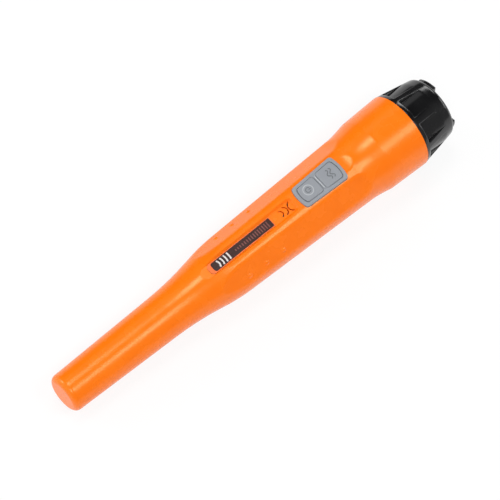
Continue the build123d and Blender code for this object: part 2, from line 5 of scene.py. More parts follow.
import bmesh
import bpy
from mathutils import Matrix, Vector, noise as field


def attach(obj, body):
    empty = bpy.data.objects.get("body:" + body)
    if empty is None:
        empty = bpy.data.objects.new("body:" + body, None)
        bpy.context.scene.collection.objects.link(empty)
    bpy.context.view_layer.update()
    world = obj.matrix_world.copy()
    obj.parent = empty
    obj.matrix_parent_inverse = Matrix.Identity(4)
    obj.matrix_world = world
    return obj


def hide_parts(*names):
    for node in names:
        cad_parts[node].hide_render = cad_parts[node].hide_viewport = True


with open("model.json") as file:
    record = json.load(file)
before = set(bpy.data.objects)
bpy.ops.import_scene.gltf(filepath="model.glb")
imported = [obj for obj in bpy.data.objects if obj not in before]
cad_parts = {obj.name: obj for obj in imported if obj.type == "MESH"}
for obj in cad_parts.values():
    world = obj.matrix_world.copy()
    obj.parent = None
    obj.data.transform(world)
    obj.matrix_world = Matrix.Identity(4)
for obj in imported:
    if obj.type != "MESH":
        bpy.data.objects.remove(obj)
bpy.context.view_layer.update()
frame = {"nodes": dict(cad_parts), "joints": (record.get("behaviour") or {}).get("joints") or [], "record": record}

# Lengths are in millimetres in the probe's own frame: X from the tip to the cap, Z out of the deck. Only
# the distances and sizes of the camera, the lamps and the floor are in metres.
MM = 0.001
sharp_angle = 35.0
mouth_x = 213.55
deck_x = 97.0
deck_height = 14.65

# Label strip on the deck
label_span = (88.9, 128.2)
label_half_width = 2.75
label_top_level = -0.75
border_width = 0.35
border_tip_width = 2.2
border_corners = (2.0, 0.7)
border_inner_corners = (1.2, 0.3)
ink_height = 0.04
ink_sink = 0.01
wave_centre_x = 92.6
wave_radii = (2.6, 4.6, 6.6, 8.6)
wave_width = 0.8
wave_half_length = 1.9
wave_reach = 62.0
scale_span = (105.5, 125.6)
scale_bars = 15
scale_bar_width = 0.55
scale_lengths = (1.0, 3.4)

# Key pad
keypad_x = 145.5
keypad_length = 25.4
keypad_widths = (12.2, 14.0)
keypad_bulge = 1.0
keypad_rise = 0.7
keypad_rim = 1.7
keypad_bar = 1.6
keypad_rib_rise = 0.5
# The pale strip on the rib between the keys is a painted highlight.
rib_highlight_length = 7.4
rib_highlight_width = 0.5
key_gap = 0.2
key_end_gap = 0.4
key_window_corner = 1.4
key_inner_bow = 0.2
pad_end_steps = 6
pad_end_cut = 1.3
key_top_level = 1.0
lip_clearance = 0.03
lip_drop = 0.1
lip_trough = 0.05
lip_slopes = (1.2, 0.8)
power_mark = (5.9, 0.4)
power_ring_radii = (2.3, 2.75)
power_ring_steps = 48
power_arc_radius = 1.25
power_arc_gap = 70.0
power_stroke = 0.42
power_bar_start = 0.35
mode_mark = (19.5, 0.0)
mode_wave_length = 5.2
mode_wave_height = 0.75
mode_wave_pitch = 1.7
mode_wave_bends = 3
mode_wave_steps = 40
mode_stroke = 0.5

# Screw cap
spigot_x = 204.55
spigot_bore = 15.485
spigot_radius = 16.785
cap_floor_x = 231.55
cap_end_x = 235.05
cap_base_radius = 19.835
cap_end_radius = 15.985
cap_base_rounding = 0.4
cap_end_rounding = 2.8
cap_end_steps = 10
taper_step = 1.0
taper_stations = 15
axis_hole = 0.4
flute_count = 8
flute_angle = 32.0
flute_turn = 3.75
flute_x = 216.35
flute_floor_radius = 17.185
flute_edge_rounding = 0.8
flute_root_rounding = 0.6
wall_draft = 0.01
wall_angles = (0, 18, 36, 54, 72)
rib_shares = (0.3, 0.5, 0.7)
floor_shares = (-0.6, -0.3, 0.0, 0.3, 0.6)
lug_radii = (10.885, 14.485)
lug_height = 1.8
lug_arcs = ((8.0, 54.0), (188.0, 286.0))
lug_rounding = 0.6
lug_root = 0.7
lug_steps = 12
lug_rounding_steps = 5

# Screw thread between the cap's spigot and the housing's mouth
thread_pitch = 2.5
thread_base_width = 1.1
thread_crest_width = 0.45
thread_sink = 0.05
thread_low_end = 0.03
thread_turn_steps = 72
thread_run_out_steps = 12
mouth_radius = 17.485
cap_thread_crest = 17.35
mouth_thread_crest = 16.95
cap_thread_span = (205.3, 210.9)
mouth_thread_span = (204.1, 211.0)

# Foam and winding inside
pad_span = (228.9, 231.5)
pad_radius = 15.1
pad_crown = 0.2
pad_rings = 8
pad_sides = 72
cushion_span = (3.05, 9.95)
cushion_radius = 7.28
cushion_hole = (4.16, 7.94)
cushion_front_rings = (2.5, 5.0)
cushion_hole_ring = 2.0
cushion_shares = (0.3, 0.5, 0.7)
cushion_sides = 48
foam_rounding = 0.5
foam_skin = 0.05
foam_grain = 0.9
foam_offset = Vector((50, 0, 0))
coil_span = (13.2, 44.8)
coil_radii = (4.95, 6.94)
coil_turns = 70
coil_ripple = 0.05
coil_turn_steps = 6
coil_sides = 40

# Finishes: the two colours that drift into each other, the range of roughness, the size and the depth of
# the grain, and the strength of the gloss where it isn't the usual one
plain_finishes = {
    "housing_orange": ((0.960, 0.172, 0.001), (0.980, 0.184, 0.002), (0.24, 0.29), 0.35, 0.003, 0.58),
    "label_dark": ((0.030, 0.009, 0.007), (0.042, 0.013, 0.010), (0.3, 0.4), 0.5, 0.003, 0.3),
    "keypad_grey": ((0.25, 0.265, 0.29), (0.275, 0.29, 0.315), (0.5, 0.62), 0.25, 0.01),
    "key_grey": ((0.24, 0.255, 0.28), (0.265, 0.28, 0.305), (0.48, 0.6), 0.25, 0.01),
    "key_ink": ((0.10, 0.11, 0.12), (0.13, 0.14, 0.15), (0.5, 0.6), 0.3, 0.004),
    # Light grey of the power ring's print, also used for the painted highlight on the rib between the keys.
    "ring_ink_and_rib_highlight": ((0.40, 0.42, 0.44), (0.46, 0.48, 0.50), (0.4, 0.5), 0.3, 0.004),
    "border_ink": ((0.88, 0.15, 0.03), (0.93, 0.18, 0.04), (0.3, 0.4), 0.5, 0.003, 0.3),
    "wave_ink": ((0.62, 0.58, 0.56), (0.74, 0.70, 0.68), (0.35, 0.45), 0.3, 0.003),
    "scale_ink": ((0.16, 0.045, 0.04), (0.22, 0.06, 0.05), (0.35, 0.45), 0.3, 0.003),
    "cap_black": ((0.004, 0.004, 0.0045), (0.007, 0.007, 0.0075), (0.14, 0.2), 0.3, 0.0015),
    "seal_rubber": ((0.010, 0.010, 0.010), (0.018, 0.018, 0.018), (0.45, 0.6), 0.3, 0.008),
    "foam_grey": ((0.06, 0.06, 0.065), (0.16, 0.16, 0.17), (0.9, 1.0), 0.7, 0.25),
    "battery_case": ((0.02, 0.02, 0.022), (0.03, 0.03, 0.033), (0.25, 0.35), 0.8, 0.003),
    "chassis_black": ((0.018, 0.018, 0.02), (0.03, 0.03, 0.032), (0.45, 0.6), 0.4, 0.01),
    "board_green": ((0.008, 0.10, 0.035), (0.014, 0.16, 0.055), (0.25, 0.4), 0.6, 0.006),
    "chip_black": ((0.012, 0.012, 0.012), (0.02, 0.02, 0.02), (0.5, 0.65), 0.2, 0.006),
    "sounder_black": ((0.014, 0.014, 0.014), (0.022, 0.022, 0.022), (0.4, 0.55), 0.3, 0.006),
    # The sound membrane's dark warm brown is painted shade: it stands in for the shade inside the sound slots
    # above it.
    "membrane_white": ((0.12, 0.07, 0.05), (0.18, 0.11, 0.08), (0.7, 0.85), 0.25, 0.02),
    "ferrite_dark": ((0.035, 0.035, 0.038), (0.06, 0.06, 0.064), (0.5, 0.7), 0.3, 0.012),
    "former_white": ((0.62, 0.60, 0.54), (0.70, 0.68, 0.62), (0.4, 0.55), 0.4, 0.006),
    "lead_red": ((0.32, 0.015, 0.015), (0.42, 0.03, 0.025), (0.4, 0.55), 0.4, 0.006),
    "switch_body": ((0.02, 0.02, 0.02), (0.032, 0.032, 0.032), (0.4, 0.55), 0.2, 0.006),
    "switch_stem": ((0.04, 0.04, 0.045), (0.06, 0.06, 0.065), (0.35, 0.5), 0.2, 0.006),
}
metal_finishes = {
    "contact_metal": ((0.72, 0.66, 0.52), (0.80, 0.75, 0.62), (0.2, 0.35), 0.3, 0.003),
    "screw_steel": ((0.50, 0.50, 0.52), (0.62, 0.62, 0.64), (0.25, 0.4), 0.2, 0.003),
    "can_silver": ((0.66, 0.66, 0.68), (0.76, 0.76, 0.78), (0.25, 0.4), 0.2, 0.003),
    "weight_steel": ((0.36, 0.36, 0.37), (0.48, 0.48, 0.49), (0.35, 0.5), 0.2, 0.006),
    "coil_copper": ((0.42, 0.13, 0.035), (0.58, 0.22, 0.07), (0.25, 0.4), 0.5, 0.004),
}
housing_gloss = (1.0, 0.95, 0.52)
pattern_span = (0.3, 0.7)
patch_size = 9.0
patch_detail = 3.0
grain_detail = 4.0

# Camera, fitted to the photo's outline in the probe's frame
camera_target = (117.5, 0.0, 0.0)
camera_toward = Vector((-0.3361, -0.2396, 0.9109)).normalized()
camera_right = Vector((0.7403, -0.6650, 0.0982))
camera_distance = 1.601
camera_focal_px = 3393.7
camera_shift_px = (1.84, -2.79)
picture_px = 500
sensor_mm = 36.0
clip_start = 0.01

# Studio, in the probe's frame: where each lamp stands, which way its long side lies, its distance, its
# two sizes and its power
lamps = {
    "key_light": ((0.29, -0.42, 0.87), (1.0, 0.0, 0.0), 1.9, (0.6, 0.55), 8.0),
    "flare_light": ((0.02, 0.27, 0.96), (1.0, 0.0, 0.0), 1.9, (0.55, 0.55), 9.5),
    "front_light": ((-0.42, -0.34, 0.84), (1.0, 0.0, 0.0), 1.8, (0.35, 0.45), 8.5),
    "rear_light": ((0.92, -0.25, 0.3), (0.0, 1.0, 0.0), 1.6, (0.8, 0.3), 4.5),
    "rim_light": ((0.8, 0.45, 0.38), (0.0, 1.0, 0.0), 1.6, (0.8, 0.35), 5.5),
    "fill_light": ((0.336, 0.65, 0.68), (1.0, 0.0, 0.0), 1.6, (0.7, 0.5), 0.7),
    "side_light": ((-0.5, 0.75, 0.43), (0.0, 0.0, 1.0), 1.8, (0.6, 0.6), 6.5),
}
surround_strength = 0.06
front_pole = Vector((-0.93, 0.3, 0.25))
front_edge = (0.4, 0.85)
front_strength = 0.9
side_pole = Vector((0.2, -0.95, 0.2))
side_edge = (0.2, 0.8)
side_strength = 0.3
floor_glow = 0.85
floor_reach = 6.0
floor_colour = (0.93, 0.93, 0.93, 1)
floor_roughness = 0.9

# The probe's frame and its deck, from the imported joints
joints = {j["name"]: j for j in frame["joints"]}
nodes = frame["nodes"]
along = Vector(joints["cap_travel"]["axis"]).normalized()
across = Vector((0, 1, 0))
above = along.cross(across)
mouth_point = Vector(joints["cap_turn"]["pos_m"])
deck_up = -Vector(joints["power_press"]["axis"]).normalized()
deck_ahead = across.cross(deck_up)

# Ways in flat figures: along the probe, and towards the axis in a turned form's section
lengthwise = Vector((1, 0))
inward = Vector((0, -1))


def at(x, y, z):
    """A point of the probe's own frame, in the row frame."""
    return mouth_point + (along * (x - mouth_x) + across * y + above * z) * MM


def on_deck(x, y, level):
    """A point over the deck: its station along the probe, its distance across, and above the deck."""
    run = (x - deck_x) / deck_ahead.dot(along)
    return at(deck_x, 0, deck_height) + (deck_ahead * run + across * y + deck_up * level) * MM


def on_pad(u, y, level):
    """A point over the key pad: its distance from the pad's tip end along it, across, and above the deck."""
    return on_deck(keypad_x, y, level) + deck_ahead * u * MM


def on_key(u, y, level):
    """A point of the print on a key's top."""
    return on_pad(u, y, key_top_level - ink_sink + level)


def on_rib(u, y, level):
    """A point of the painted highlight on the rib between the keys."""
    return on_pad(u, y, keypad_rise + keypad_rib_rise - ink_sink + level)


def on_label(x, y, level):
    """A point of the print on the label."""
    return on_deck(x, y, label_top_level - ink_sink + level)


def heading(vector):
    """A direction of the probe's own frame, in the row frame."""
    return along * vector.x + across * vector.y + above * vector.z


# Materials


def new_material(name):
    """A node material, with its tree's nodes, links and shader."""
    material = bpy.data.materials.new(name)
    material.use_nodes = True
    tree = material.node_tree
    return material, tree.nodes, tree.links, tree.nodes["Principled BSDF"]


def noise(tree_nodes, links, scale, detail):
    """A noise pattern on the piece's own coordinates, with features of about 1 / scale metres."""
    coords = tree_nodes.new("ShaderNodeTexCoord")
    texture = tree_nodes.new("ShaderNodeTexNoise")
    texture.inputs["Scale"].default_value = scale
    texture.inputs["Detail"].default_value = detail
    links.new(coords.outputs["Object"], texture.inputs["Vector"])
    return texture.outputs["Fac"]


def blend_colours(tree_nodes, links, factor, low, high):
    """Two colours run into each other by a pattern."""
    ramp = tree_nodes.new("ShaderNodeValToRGB")
    for stop, place, colour in zip(ramp.color_ramp.elements, pattern_span, (low, high)):
        stop.position = place
        stop.color = (*colour, 1.0)
    links.new(factor, ramp.inputs["Fac"])
    return ramp.outputs["Color"]


def spread(tree_nodes, links, factor, low, high):
    """A pattern stretched between two values."""
    stretch = tree_nodes.new("ShaderNodeMapRange")
    stretch.inputs["From Min"].default_value = pattern_span[0]
    stretch.inputs["From Max"].default_value = pattern_span[1]
    stretch.inputs["To Min"].default_value = low
    stretch.inputs["To Max"].default_value = high
    links.new(factor, stretch.inputs["Value"])
    return stretch.outputs["Result"]


def bump(tree_nodes, links, height, depth_mm, shader):
    """A fine relief on a shader."""
    relief = tree_nodes.new("ShaderNodeBump")
    relief.inputs["Strength"].default_value = 1.0
    relief.inputs["Distance"].default_value = depth_mm * MM
    links.new(height, relief.inputs["Height"])
    links.new(relief.outputs["Normal"], shader.inputs["Normal"])


def grained(name, low, high, roughness, grain_mm, depth_mm, specular=0.5, metallic=0.0):
    """A finish whose colour and gloss drift over patches, with a fine grain."""
    material, tree_nodes, links, shader = new_material(name)
    patches = noise(tree_nodes, links, 1 / (patch_size * MM), patch_detail)
    grain = noise(tree_nodes, links, 1 / (grain_mm * MM), grain_detail)
    links.new(blend_colours(tree_nodes, links, patches, low, high), shader.inputs["Base Color"])
    links.new(spread(tree_nodes, links, patches, *roughness), shader.inputs["Roughness"])
    shader.inputs["Specular IOR Level"].default_value = specular
    shader.inputs["Metallic"].default_value = metallic
    bump(tree_nodes, links, grain, depth_mm, shader)
    return material


def make_finishes():
    """Every finish: the record's material slots, and the inks of the prints."""
    finishes = {name: grained(name, *look) for name, look in plain_finishes.items()}
    finishes.update({name: grained(name, *look, metallic=1.0) for name, look in metal_finishes.items()})
    housing_shader = finishes["housing_orange"].node_tree.nodes["Principled BSDF"]
    housing_shader.inputs["Specular Tint"].default_value = (*housing_gloss, 1.0)
    return finishes


# Pieces


def add_piece(name, points, faces, material, body):
    """A mesh piece that rides on a body and wears a finish, smooth but for its sharp edges."""
    mesh = bpy.data.meshes.new(name)
    mesh.from_pydata(points, [], faces)
    shape = bmesh.new()
    shape.from_mesh(mesh)
    bmesh.ops.recalc_face_normals(shape, faces=shape.faces)
    shape.to_mesh(mesh)
    shape.free()
    mesh.materials.append(material)
    mesh.polygons.foreach_set("use_smooth", [True] * len(mesh.polygons))
    mesh.set_sharp_from_angle(angle=radians(sharp_angle))
    piece = bpy.data.objects.new(name, mesh)
    bpy.context.scene.collection.objects.link(piece)
    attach(piece, body)
    return piece


def strip_faces(rings, length, joined=False):
    """Quads between closed rings that follow each other; joined also links the last one to the first."""
    faces = []
    for i in range(rings if joined else rings - 1):
        a, b = i * length, (i + 1) % rings * length
        for j in range(length):
            k = (j + 1) % length
            faces.append((a + j, a + k, b + k, b + j))
    return faces


def end_faces(rings, length):
    """The two faces that close a row of rings at its ends."""
    last = (rings - 1) * length
    return [tuple(range(length)), tuple(range(last, last + length))]


def add_plates(name, outlines, place, material, body):
    """Thin plates of ink over closed outlines; place turns an outline's point and a level into space."""
    points, faces = [], []
    for outline in outlines:
        start, count = len(points), len(outline)
        points += [place(*p, 0.0) for p in outline] + [place(*p, ink_height) for p in outline]
        faces += [tuple(start + i for i in face) for face in strip_faces(2, count)]
        faces.append(tuple(start + count + i for i in range(count)))
        faces.append(tuple(start + count - 1 - i for i in range(count)))
    add_piece(name, points, faces, material, body)


def add_band(name, loop, material, body):
    """A closed band: a loop of closed cross-sections."""
    points = [p for section in loop for p in section]
    faces = strip_faces(len(loop), len(loop[0]), True)
    add_piece(name, points, faces, material, body)


def add_ink_ring(name, edges, place, material, body):
    """A closed line of ink between two outlines whose points go in pairs."""
    loop = []
    for a, b in zip(*edges):
        loop.append((place(*a, 0.0), place(*a, ink_height), place(*b, ink_height), place(*b, 0.0)))
    add_band(name, loop, material, body)


def add_turned(name, profile, turns, shift, material, body, ring=False):
    """A form turned about the long axis from a profile of stations and radii.

    shift gives each point's small move along the axis and away from it. A ring's profile closes on itself,
    and any other form is closed at both ends.
    """
    points = []
    for x, radius in profile:
        for turn in turns:
            move, grow = shift(x, radius, turn)
            reach = radius + grow
            points.append(at(x + move, reach * sin(turn), reach * cos(turn)))
    count = len(turns)
    faces = strip_faces(len(profile), count, ring)
    if not ring:
        faces += end_faces(len(profile), count)
    return add_piece(name, points, faces, material, body)


def even_turns(count):
    """Angles at even steps round the axis."""
    return [2 * pi * i / count for i in range(count)]


def stroke(line, width):
    """The outline of a stroke along an open line."""
    left, right = [], []
    for i, point in enumerate(line):
        way = (line[min(i + 1, len(line) - 1)] - line[max(i - 1, 0)]).normalized()
        side = Vector((-way.y, way.x)) * width / 2
        left.append(point + side)
        right.append(point - side)
    return left + right[::-1]


def arc(centre, radius, first, last, steps=24):
    """Points of an arc between two angles in degrees."""
    turns = [radians(first + (last - first) * i / steps) for i in range(steps + 1)]
    return [Vector(centre) + Vector((cos(t), sin(t))) * radius for t in turns]


def thread_ridge(name, root, crest, span, start_angle, material, body):
    """A screw thread's ridge: a trapezoid swept along a right-hand helix, run out at both ends."""
    steps = round((span[1] - span[0]) / thread_pitch * thread_turn_steps)
    points = []
    for i in range(steps + 1):
        angle = start_angle + 2 * pi * i / thread_turn_steps
        x = span[0] + thread_pitch * i / thread_turn_steps
        full = min(1.0, i / thread_run_out_steps, (steps - i) / thread_run_out_steps)
        top = root + (crest - root) * (thread_low_end + (1 - thread_low_end) * full)
        section = (
            (-thread_base_width / 2, root),
            (-thread_crest_width / 2, top),
            (thread_crest_width / 2, top),
            (thread_base_width / 2, root),
        )
        points += [at(x + half, -radius * sin(angle), radius * cos(angle)) for half, radius in section]
    corners = len(section)
    faces = strip_faces(steps + 1, corners) + end_faces(steps + 1, corners)
    add_piece(name, points, faces, material, body)


def make_threads(finishes):
    """The meshing threads of the cap and the mouth, half a pitch apart."""
    black, orange = finishes["cap_black"], finishes["housing_orange"]
    cap_root, mouth_root = spigot_radius - thread_sink, mouth_radius + thread_sink
    offset = (mouth_thread_span[0] - cap_thread_span[0]) / thread_pitch
    start = 2 * pi * (offset + 0.5)
    thread_ridge("cap_thread", cap_root, cap_thread_crest, cap_thread_span, 0.0, black, "cap")
    thread_ridge(
        "mouth_thread",
        mouth_root,
        mouth_thread_crest,
        mouth_thread_span,
        start,
        orange,
        "housing",
    )


def half_width(u, inset):
    """Half the key pad's width at a distance along it, drawn in from its sides."""
    growth = (keypad_widths[1] - keypad_widths[0]) * u / keypad_length
    return (keypad_widths[0] + growth) / 2 - inset


def rounded(corner, first, second, radius, steps=6):
    """Points of a rounding between two ways that leave a corner."""
    half = first.angle(second) / 2
    centre = corner + (first + second).normalized() * (radius / sin(half))
    spokes = [corner + way * (radius / tan(half)) - centre for way in (first, second)]
    return [centre + spokes[0].lerp(spokes[1], i / steps).normalized() * radius for i in range(steps + 1)]


def pad_loop(span, inset, bows, corner):
    """A closed outline on the key pad: straight sides, bowed ends and rounded corners."""
    (start, end), (tip, tail) = span, [half_width(u, inset) for u in span]
    side = Vector((end - start, tail - tip)).normalized()
    tip_way = -Vector((2 * bows[0], tip)).normalized()
    tail_way = Vector((2 * bows[1], -tail)).normalized()
    cuts = [1 - pad_end_cut * corner / half for half in (tip, tail)]
    upper = []
    for i in range(pad_end_steps + 1):
        t = cuts[0] * i / pad_end_steps
        upper.append(Vector((start - bows[0] * (1 - t * t), tip * t)))
    upper += rounded(Vector((start, tip)), tip_way, side, corner)
    upper += rounded(Vector((end, tail)), -side, tail_way, corner)
    for i in range(pad_end_steps, -1, -1):
        t = cuts[1] * i / pad_end_steps
        upper.append(Vector((end + bows[1] * (1 - t * t), tail * t)))
    return upper + [Vector((p.x, -p.y)) for p in upper[-2:0:-1]]


def key_loop(index, gap, end_gap):
    """The outline of one key's opening, drawn in at its sides and at its outer end."""
    near, far = keypad_bar / 2 + gap, keypad_rim + end_gap
    middle = keypad_length / 2
    if index == 0:
        span, bows = (far, middle - near), (keypad_bulge, key_inner_bow)
    else:
        span, bows = (middle + near, keypad_length - far), (key_inner_bow, keypad_bulge)
    return pad_loop(span, keypad_rim + gap, bows, key_window_corner - gap)


def make_key_lips(finishes):
    """The thin rubber lip round each key that closes its gap; it hangs deeper where the gap is wider."""
    for index, body in enumerate(("power_button", "mode_button")):
        outer = key_loop(index, lip_clearance, lip_clearance)
        inner = key_loop(index, key_gap + lip_clearance, key_end_gap + lip_clearance)
        loop = []
        for a, b in zip(outer, inner):
            extra = (a - b).length - key_gap
            edge = keypad_rise - lip_drop - lip_slopes[0] * extra
            trough = edge - lip_trough - lip_slopes[1] * extra
            middle = (a + b) / 2
            section = ((a, edge), (middle, trough), (b, edge), (middle, trough - lip_drop))
            loop.append([on_pad(*p, level) for p, level in section])
        add_band(f"{body}_lip", loop, finishes["key_grey"], body)


def make_power_sign(finishes):
    """A ring with a power sign in it, on the key nearer the tip."""
    edges = [arc(power_mark, radius, 0, 360, power_ring_steps)[:-1] for radius in power_ring_radii]
    add_ink_ring("power_ring", edges, on_key, finishes["ring_ink_and_rib_highlight"], "power_button")
    half_gap = power_arc_gap / 2
    bow = stroke(arc(power_mark, power_arc_radius, half_gap, 360 - half_gap), power_stroke)
    reaches = (power_bar_start, power_bar_start + power_arc_radius)
    bar = stroke([Vector(power_mark) + lengthwise * reach for reach in reaches], power_stroke)
    add_plates("power_sign", [bow, bar], on_key, finishes["key_ink"], "power_button")


def make_mode_sign(finishes):
    """Two waves on the key nearer the tail."""
    waves = []
    for row in (-0.5, 0.5):
        line = []
        for i in range(mode_wave_steps + 1):
            share = i / mode_wave_steps
            u = row * mode_wave_pitch + mode_wave_height * sin(mode_wave_bends * pi * share)
            line.append(Vector(mode_mark) + Vector((u, mode_wave_length * (share - 0.5))))
        waves.append(stroke(line, mode_stroke))
    add_plates("mode_sign", waves, on_key, finishes["key_ink"], "mode_button")


def make_rib_highlight(finishes):
    """A pale strip on the rib between the keys: a painted highlight along the rib's top."""
    ends = [Vector((keypad_length / 2, side * rib_highlight_length / 2)) for side in (-1, 1)]
    line = stroke(ends, rib_highlight_width)
    add_plates("rib_painted_highlight", [line], on_rib, finishes["ring_ink_and_rib_highlight"], "housing")


def label_loop(tip_inset, inset, radii):
    """A closed outline on the label, drawn in from its tip end and its other edges, with rounded corners."""
    start, end = label_span[0] + tip_inset, label_span[1] - inset
    half = label_half_width - inset
    corners = [Vector(p) for p in ((start, half), (end, half), (end, -half), (start, -half))]
    loop = []
    for i, corner in enumerate(corners):
        before = (corners[i - 1] - corner).normalized()
        after = (corners[(i + 1) % len(corners)] - corner).normalized()
        loop += rounded(corner, before, after, radii[0] if i in (0, 3) else radii[1])
    return loop


def make_label_print(finishes):
    """The label's print: an orange border, light waves at the tip end, and a graduated scale behind them."""
    outer = label_loop(0.0, 0.0, border_corners)
    inner = label_loop(border_tip_width, border_width, border_inner_corners)
    edges = (outer, inner)
    add_ink_ring("label_border", edges, on_label, finishes["border_ink"], "housing")
    waves = []
    for radius in wave_radii:
        reach = min(wave_reach, degrees(wave_half_length / radius))
        waves.append(stroke(arc((wave_centre_x, 0.0), radius, -reach, reach), wave_width))
    add_plates("label_waves", waves, on_label, finishes["wave_ink"], "housing")
    bars = []
    for i in range(scale_bars):
        share = i / (scale_bars - 1)
        x = scale_span[0] + (scale_span[1] - scale_span[0]) * share
        half = (scale_lengths[0] + (scale_lengths[1] - scale_lengths[0]) * share) / 2
        bars.append(stroke([Vector((x, -half)), Vector((x, half))], scale_bar_width))
    add_plates("label_scale", bars, on_label, finishes["scale_ink"], "housing")


def wall_steps():
    """Distances into a flute at which its rounded edge and root are cut into facets."""
    shares = [1 - sin(radians(angle)) for angle in wall_angles]
    edge = [-flute_edge_rounding * share for share in shares]
    root = [flute_root_rounding * share for share in shares]
    return edge + [-wall_draft, wall_draft] + root[::-1]


def flute_turns():
    """Angles round the cap, close together at the walls of the flutes."""
    half, pitch = radians(flute_angle / 2), 2 * pi / flute_count
    wall = [half - step / cap_base_radius for step in wall_steps()]
    rib = [half + (pitch - 2 * half) * share for share in rib_shares]
    floor = [half * share for share in floor_shares]
    one = sorted([-angle for angle in wall] + floor + wall + rib)
    return [radians(flute_turn) + pitch * i + angle for i in range(flute_count) for angle in one]


def flute_shift(x, radius, turn):
    """How far the cap's skin lies from its taper: flutes with rounded edges and roots.

    The roundings shrink with the flute's depth, which runs out in the taper.
    """
    depth = max(0.0, radius - flute_floor_radius)
    pitch = 2 * pi / flute_count
    off = abs((turn - radians(flute_turn) + pitch / 2) % pitch - pitch / 2)
    inside = min((radians(flute_angle / 2) - off) * cap_base_radius, x - flute_x)
    if inside < 0:
        rounding = min(flute_edge_rounding, depth / 2)
        lap = max(0.0, rounding + inside)
        return 0.0, sqrt(rounding**2 - lap**2) - rounding
    rounding = min(flute_root_rounding, depth / 3)
    lap = max(0.0, rounding - inside)
    return 0.0, rounding - sqrt(rounding**2 - lap**2) - depth


def cap_profile():
    """The cap's section from its floor round the spigot and the taper to the middle of its end."""
    base, end = Vector((mouth_x, cap_base_radius)), Vector((cap_end_x, cap_end_radius))
    taper = (end - base).normalized()
    profile = [
        Vector((cap_floor_x, axis_hole)),
        Vector((cap_floor_x, spigot_bore)),
        Vector((spigot_x, spigot_bore)),
        Vector((spigot_x, spigot_radius)),
        Vector((mouth_x, spigot_radius)),
    ]
    profile += rounded(base, inward, taper, cap_base_rounding)
    stations = [flute_x + step for step in wall_steps()]
    stations += [flute_x + taper_step * i for i in range(1, taper_stations + 1)]
    profile += [base + taper * ((x - mouth_x) / taper.x) for x in stations]
    profile += rounded(end, -taper, inward, cap_end_rounding, cap_end_steps)
    return profile + [Vector((cap_end_x, axis_hole))]


def lug_loop(sector, x, inset):
    """A ring sector's outline on the cap's end, drawn in from its edges."""
    loop = []
    middle, span = radians(sum(sector) / 2), radians(sector[1] - sector[0])
    for radius, way in ((lug_radii[1] - inset, 1), (lug_radii[0] + inset, -1)):
        half = span / 2 - inset / radius
        for i in range(lug_steps + 1):
            turn = middle + way * half * (2 * i / lug_steps - 1)
            loop.append(at(x, radius * sin(turn), radius * cos(turn)))
    return loop


def make_cap(finishes):
    """The screw cap, with soft edges on its flutes."""
    black = finishes["cap_black"]
    shell = add_turned("cap_shell", cap_profile(), flute_turns(), flute_shift, black, "cap")
    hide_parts("battery_cap")


def make_lugs(finishes):
    """The two lugs on the cap's end, rounded on top, with their roots in the cap."""
    top = cap_end_x + lug_height
    levels = [(cap_end_x - lug_root, 0.0)]
    for i in range(lug_rounding_steps + 1):
        angle = pi / 2 * i / lug_rounding_steps
        levels.append((top - lug_rounding * (1 - sin(angle)), lug_rounding * (1 - cos(angle))))
    for index, sector in enumerate(lug_arcs):
        loops = [lug_loop(sector, x, inset) for x, inset in levels]
        count = len(loops[0])
        faces = strip_faces(len(loops), count) + end_faces(len(loops), count)
        points = [p for loop in loops for p in loop]
        add_piece(f"cap_lug_{index}", points, faces, finishes["cap_black"], "cap")


def foam_shift(x, radius, turn):
    """The uneven skin of cut foam."""
    place = Vector((x, radius * sin(turn), radius * cos(turn))) * foam_grain
    return foam_skin * field.noise(place), foam_skin * field.noise(place + foam_offset)


def pad_profile():
    """The section of the foam disc in the cap, crowned on both sides."""
    low, high = pad_span
    rim = pad_radius - foam_rounding
    radii = [axis_hole + (rim - axis_hole) * i / pad_rings for i in range(pad_rings + 1)]
    crowned = [(pad_crown * (radius / pad_radius) ** 2, radius) for radius in radii]
    near = [Vector((low + sink, radius)) for sink, radius in crowned]
    far = [Vector((high - sink, radius)) for sink, radius in crowned[::-1]]
    edge = rounded(Vector((low + pad_crown, pad_radius)), inward, lengthwise, foam_rounding)
    edge += rounded(Vector((high - pad_crown, pad_radius)), -lengthwise, inward, foam_rounding)
    return near + edge + far


def cushion_profile():
    """The section of the foam plug in the tip, with the rod's hole in its far end."""
    low, high = cushion_span
    hole_radius, hole_x = cushion_hole
    profile = [Vector((low, radius)) for radius in (axis_hole, *cushion_front_rings)]
    profile += rounded(Vector((low, cushion_radius)), inward, lengthwise, foam_rounding)
    profile += [Vector((low + (high - low) * share, cushion_radius)) for share in cushion_shares]
    profile += rounded(Vector((high, cushion_radius)), -lengthwise, inward, foam_rounding)
    profile += rounded(Vector((high, hole_radius)), -inward, -lengthwise, foam_rounding)
    return profile + [Vector((hole_x, radius)) for radius in (hole_radius, cushion_hole_ring, axis_hole)]


def make_foam(finishes):
    """The foam disc in the cap and the foam plug in the tip, with soft edges and an uneven skin."""
    foam = finishes["foam_grey"]
    turns = even_turns(pad_sides)
    pad = add_turned("cap_foam", pad_profile(), turns, foam_shift, foam, "cap")
    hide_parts("cap_pad")
    turns = even_turns(cushion_sides)
    plug = add_turned("tip_foam", cushion_profile(), turns, foam_shift, foam, "housing")
    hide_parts("tip_cushion")


